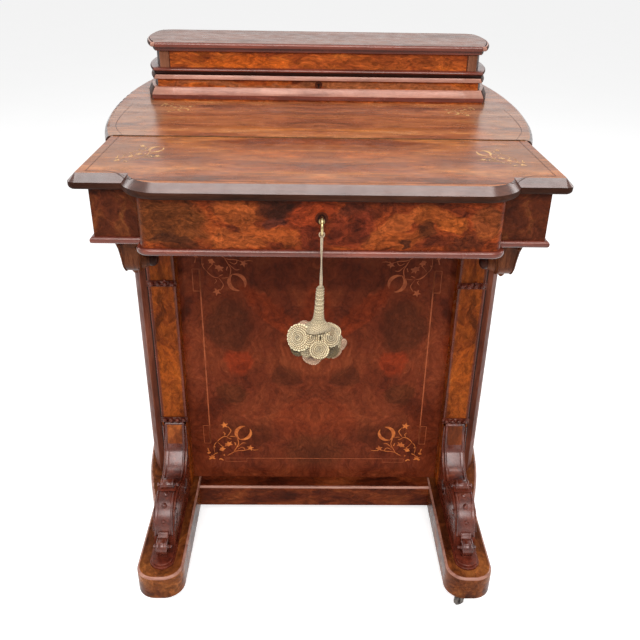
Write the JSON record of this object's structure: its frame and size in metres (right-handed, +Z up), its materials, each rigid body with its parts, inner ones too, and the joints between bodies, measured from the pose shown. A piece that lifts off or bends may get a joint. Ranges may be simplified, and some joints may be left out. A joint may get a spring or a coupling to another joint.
{
  "type": "davenport desk",
  "caption": "Small walnut writing desk: a flat hinged lid and stationery box over a drawer pedestal, on scrolled consoles, sledge feet and castors.",
  "frame": {"origin": "on the floor, under the middle of the desk", "axes": "+X to the writer's right, +Y away from the writer, +Z up"},
  "size_m": [0.6783, 0.716, 0.815],
  "materials": {
    "walnut": "french polished",
    "burr_walnut": "french polished burr veneer",
    "pine": "plain",
    "brass": "aged",
    "iron": "worn",
    "steel": "aged",
    "cotton": "crocheted"
  },
  "bodies": {
    "carcase": {"platform_board": "walnut", "foot_left": "walnut", "foot_right": "walnut", "castor_plates": "brass", "front_panel": "burr_walnut", "back_panel": "walnut", "corner_stiles": "walnut", "dust_boards": "pine", "dummy_drawer_fronts": "burr_walnut", "dummy_drawer_knobs": "walnut", "pilaster_left": "burr_walnut", "pilaster_right": "burr_walnut", "bead_bands": "walnut", "console_left": "walnut", "console_right": "walnut", "console_pads": "walnut", "corbel_left": "walnut", "corbel_right": "walnut", "writing_box_bottom": "walnut", "writing_box_front": "burr_walnut", "breakfront_frieze": "burr_walnut", "writing_box_side_left": "burr_walnut", "writing_box_side_right": "burr_walnut", "writing_box_back": "walnut", "fixed_top": "burr_walnut", "lid_hinge_fixed": "brass", "writing_box_lock": "brass", "escutcheons": "brass", "stationery_base": "burr_walnut", "stationery_hinge_fixed": "brass"},
    "writing_lid": {"writing_lid": "burr_walnut", "lid_hinge_moving": "brass"},
    "stationery_lid": {"stationery_lid_frame": "burr_walnut", "stationery_lid_top": "walnut", "stationery_hinge_moving": "brass"},
    "key": {"key": "steel"},
    "tassel": {"tassel_cord": "cotton", "tassel_stem": "cotton", "tassel_rose": "cotton"},
    "drawer_1": {"drawer_1_front": "burr_walnut", "drawer_1_box": "pine", "drawer_1_knob": "walnut"},
    "drawer_2": {"drawer_2_front": "burr_walnut", "drawer_2_box": "pine", "drawer_2_knob": "walnut"},
    "drawer_3": {"drawer_3_front": "burr_walnut", "drawer_3_box": "pine", "drawer_3_knob": "walnut"},
    "drawer_4": {"drawer_4_front": "burr_walnut", "drawer_4_box": "pine", "drawer_4_knob": "walnut"},
    "castor_front_left": {"castor_horn_front_left": "brass"},
    "wheel_front_left": {"castor_wheel_front_left": "iron"},
    "castor_front_right": {"castor_horn_front_right": "brass"},
    "wheel_front_right": {"castor_wheel_front_right": "iron"},
    "castor_rear_left": {"castor_horn_rear_left": "brass"},
    "wheel_rear_left": {"castor_wheel_rear_left": "iron"},
    "castor_rear_right": {"castor_horn_rear_right": "brass"},
    "wheel_rear_right": {"castor_wheel_rear_right": "iron"}
  },
  "joints": [
    {"name": "writing_lid_hinge", "type": "hinge", "parent": "carcase", "child": "writing_lid", "pos_m": [0, -0.1105, 0.724], "axis": [-1, 0, 0], "range_deg": [0, 100]},
    {"name": "stationery_lid_hinge", "type": "hinge", "parent": "carcase", "child": "stationery_lid", "pos_m": [0, 0.3191, 0.7653], "axis": [-1, 0, 0], "range_deg": [0, 95]},
    {"name": "key_turn", "type": "hinge", "parent": "carcase", "child": "key", "pos_m": [0, -0.3425, 0.683], "axis": [0, 1, 0], "range_deg": [0, 90]},
    {"name": "tassel_hang", "type": "hinge", "parent": "key", "child": "tassel", "pos_m": [0, -0.3425, 0.6736], "axis": [0, 1, 0], "range_deg": [-90, 0]},
    {"name": "drawer_1_slide", "type": "slide", "parent": "carcase", "child": "drawer_1", "axis": [1, 0, 0], "range_m": [0, 0.36]},
    {"name": "drawer_2_slide", "type": "slide", "parent": "carcase", "child": "drawer_2", "axis": [1, 0, 0], "range_m": [0, 0.36]},
    {"name": "drawer_3_slide", "type": "slide", "parent": "carcase", "child": "drawer_3", "axis": [1, 0, 0], "range_m": [0, 0.36]},
    {"name": "drawer_4_slide", "type": "slide", "parent": "carcase", "child": "drawer_4", "axis": [1, 0, 0], "range_m": [0, 0.36]},
    {"name": "swivel_front_left", "type": "hinge", "parent": "carcase", "child": "castor_front_left", "pos_m": [-0.246, -0.2525, 0.024], "axis": [0, 0, 1], "continuous": true},
    {"name": "roll_front_left", "type": "hinge", "parent": "castor_front_left", "child": "wheel_front_left", "pos_m": [-0.25107, -0.24162, 0.01], "axis": [-0.9063, -0.4226, 0], "continuous": true},
    {"name": "swivel_front_right", "type": "hinge", "parent": "carcase", "child": "castor_front_right", "pos_m": [0.246, -0.2525, 0.024], "axis": [0, 0, 1], "continuous": true},
    {"name": "roll_front_right", "type": "hinge", "parent": "castor_front_right", "child": "wheel_front_right", "pos_m": [0.23617, -0.25938, 0.01], "axis": [0.5736, -0.8192, 0], "continuous": true},
    {"name": "swivel_rear_left", "type": "hinge", "parent": "carcase", "child": "castor_rear_left", "pos_m": [-0.246, 0.3005, 0.024], "axis": [0, 0, 1], "continuous": true},
    {"name": "roll_rear_left", "type": "hinge", "parent": "castor_rear_left", "child": "wheel_rear_left", "pos_m": [-0.24808, 0.31232, 0.01], "axis": [-0.9848, -0.1736, 0], "continuous": true},
    {"name": "swivel_rear_right", "type": "hinge", "parent": "carcase", "child": "castor_rear_right", "pos_m": [0.246, 0.3005, 0.024], "axis": [0, 0, 1], "continuous": true},
    {"name": "roll_rear_right", "type": "hinge", "parent": "castor_rear_right", "child": "wheel_rear_right", "pos_m": [0.24911, 0.31209, 0.01], "axis": [-0.9659, 0.2588, 0], "continuous": true}
  ],
  "couplings": [
    {"joint": "tassel_hang", "follows": "key_turn", "ratio": -1}
  ]
}
